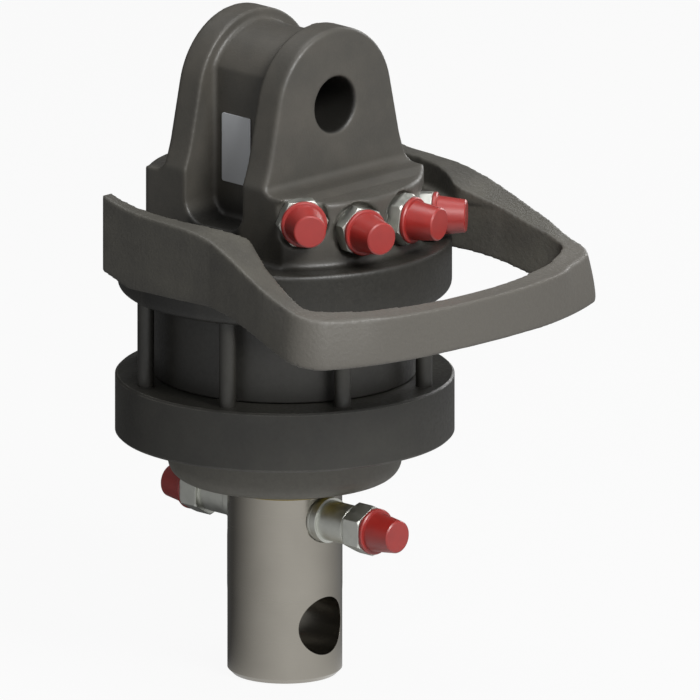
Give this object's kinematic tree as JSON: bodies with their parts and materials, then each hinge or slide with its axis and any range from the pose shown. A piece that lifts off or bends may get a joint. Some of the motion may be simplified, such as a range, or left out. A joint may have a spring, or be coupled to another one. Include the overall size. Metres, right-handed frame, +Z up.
{
  "type": "hydraulic rotator",
  "caption": "Continuous hydraulic vane rotator: two-eared head with crane pin bore and hose guard, clamped motor housing, and a round output shaft with a cross hole.",
  "frame": {"origin": "centre of the flat foot of the output shaft, on the rotation axis", "axes": "+Z up along the shaft's rotation axis to the crane ears; the crane pin bore lies along Y; the four hose ports and the guard's front bar face -Y; +X to the right seen from the ports"},
  "size_m": [0.2512, 0.2741, 0.4044],
  "materials": {
    "painted_casting": "dark warm grey satin paint over cast iron",
    "ground_steel": "fine turned satin",
    "hard_steel": "hardened and ground",
    "zinc_steel": "zinc plated satin",
    "screw_steel": "dark painted over steel",
    "bronze": "machined bronze",
    "seal_rubber": "moulded nitrile rubber",
    "red_plastic": "moulded polythene, semi gloss",
    "plate_aluminium": "anodised satin"
  },
  "bodies": {
    "housing": {"head_casting": "painted_casting", "cam_ring": "painted_casting", "lower_plate": "painted_casting", "plate_screws": "screw_steel", "dowel_pins": "hard_steel", "thrust_washer_lower": "hard_steel", "lower_bush": "bronze", "upper_bush": "bronze", "shaft_seal": "seal_rubber", "wiper_ring": "seal_rubber", "swivel_rings": "seal_rubber", "face_seal_lower": "seal_rubber", "face_seal_upper": "seal_rubber", "port_adapter_1": "zinc_steel", "port_adapter_2": "zinc_steel", "port_adapter_3": "zinc_steel", "port_adapter_4": "zinc_steel", "port_cap_1": "red_plastic", "port_cap_2": "red_plastic", "port_cap_3": "red_plastic", "port_cap_4": "red_plastic", "port_washers": "zinc_steel", "hose_guard": "painted_casting", "guard_screws": "screw_steel", "type_plate": "plate_aluminium"},
    "shaft_unit": {"shaft": "ground_steel", "rotor": "hard_steel", "rotor_keys": "hard_steel", "vane_springs": "hard_steel", "thrust_washer_upper": "hard_steel", "shaft_adapter_front": "zinc_steel", "shaft_adapter_rear": "zinc_steel", "shaft_cap_front": "red_plastic", "shaft_cap_rear": "red_plastic", "shaft_port_washers": "zinc_steel"},
    "roller_set": {"thrust_rollers": "hard_steel", "roller_cage": "bronze"},
    "vane_unit_1": {"vane_1": "hard_steel"},
    "vane_unit_2": {"vane_2": "hard_steel"},
    "vane_unit_3": {"vane_3": "hard_steel"},
    "vane_unit_4": {"vane_4": "hard_steel"},
    "vane_unit_5": {"vane_5": "hard_steel"},
    "vane_unit_6": {"vane_6": "hard_steel"},
    "vane_unit_7": {"vane_7": "hard_steel"},
    "vane_unit_8": {"vane_8": "hard_steel"}
  },
  "joints": [
    {"name": "shaft_spin", "type": "hinge", "parent": "housing", "child": "shaft_unit", "pos_m": [0, 0, 0.1], "axis": [0, 0, 1], "continuous": true},
    {"name": "roller_set_spin", "type": "hinge", "parent": "housing", "child": "roller_set", "pos_m": [0, 0, 0.1668], "axis": [0, 0, 1], "continuous": true},
    {"name": "vane_1_slide", "type": "slide", "parent": "shaft_unit", "child": "vane_unit_1", "axis": [0.3827, -0.9239, 0], "range_m": [0, 0.0034]},
    {"name": "vane_2_slide", "type": "slide", "parent": "shaft_unit", "child": "vane_unit_2", "axis": [0.9239, -0.3827, 0], "range_m": [0, 0.0034]},
    {"name": "vane_3_slide", "type": "slide", "parent": "shaft_unit", "child": "vane_unit_3", "axis": [0.9239, 0.3827, 0], "range_m": [0, 0.0034]},
    {"name": "vane_4_slide", "type": "slide", "parent": "shaft_unit", "child": "vane_unit_4", "axis": [0.3827, 0.9239, 0], "range_m": [0, 0.0034]},
    {"name": "vane_5_slide", "type": "slide", "parent": "shaft_unit", "child": "vane_unit_5", "axis": [-0.3827, 0.9239, 0], "range_m": [0, 0.0034]},
    {"name": "vane_6_slide", "type": "slide", "parent": "shaft_unit", "child": "vane_unit_6", "axis": [-0.9239, 0.3827, 0], "range_m": [0, 0.0034]},
    {"name": "vane_7_slide", "type": "slide", "parent": "shaft_unit", "child": "vane_unit_7", "axis": [-0.9239, -0.3827, 0], "range_m": [0, 0.0034]},
    {"name": "vane_8_slide", "type": "slide", "parent": "shaft_unit", "child": "vane_unit_8", "axis": [-0.3827, -0.9239, 0], "range_m": [0, 0.0034]}
  ],
  "couplings": [
    {"joint": "roller_set_spin", "follows": "shaft_spin", "ratio": 0.5},
    {"joint": "vane_3_slide", "follows": "vane_1_slide", "ratio": 1},
    {"joint": "vane_4_slide", "follows": "vane_2_slide", "ratio": 1},
    {"joint": "vane_5_slide", "follows": "vane_1_slide", "ratio": 1},
    {"joint": "vane_6_slide", "follows": "vane_2_slide", "ratio": 1},
    {"joint": "vane_7_slide", "follows": "vane_1_slide", "ratio": 1},
    {"joint": "vane_8_slide", "follows": "vane_2_slide", "ratio": 1}
  ]
}
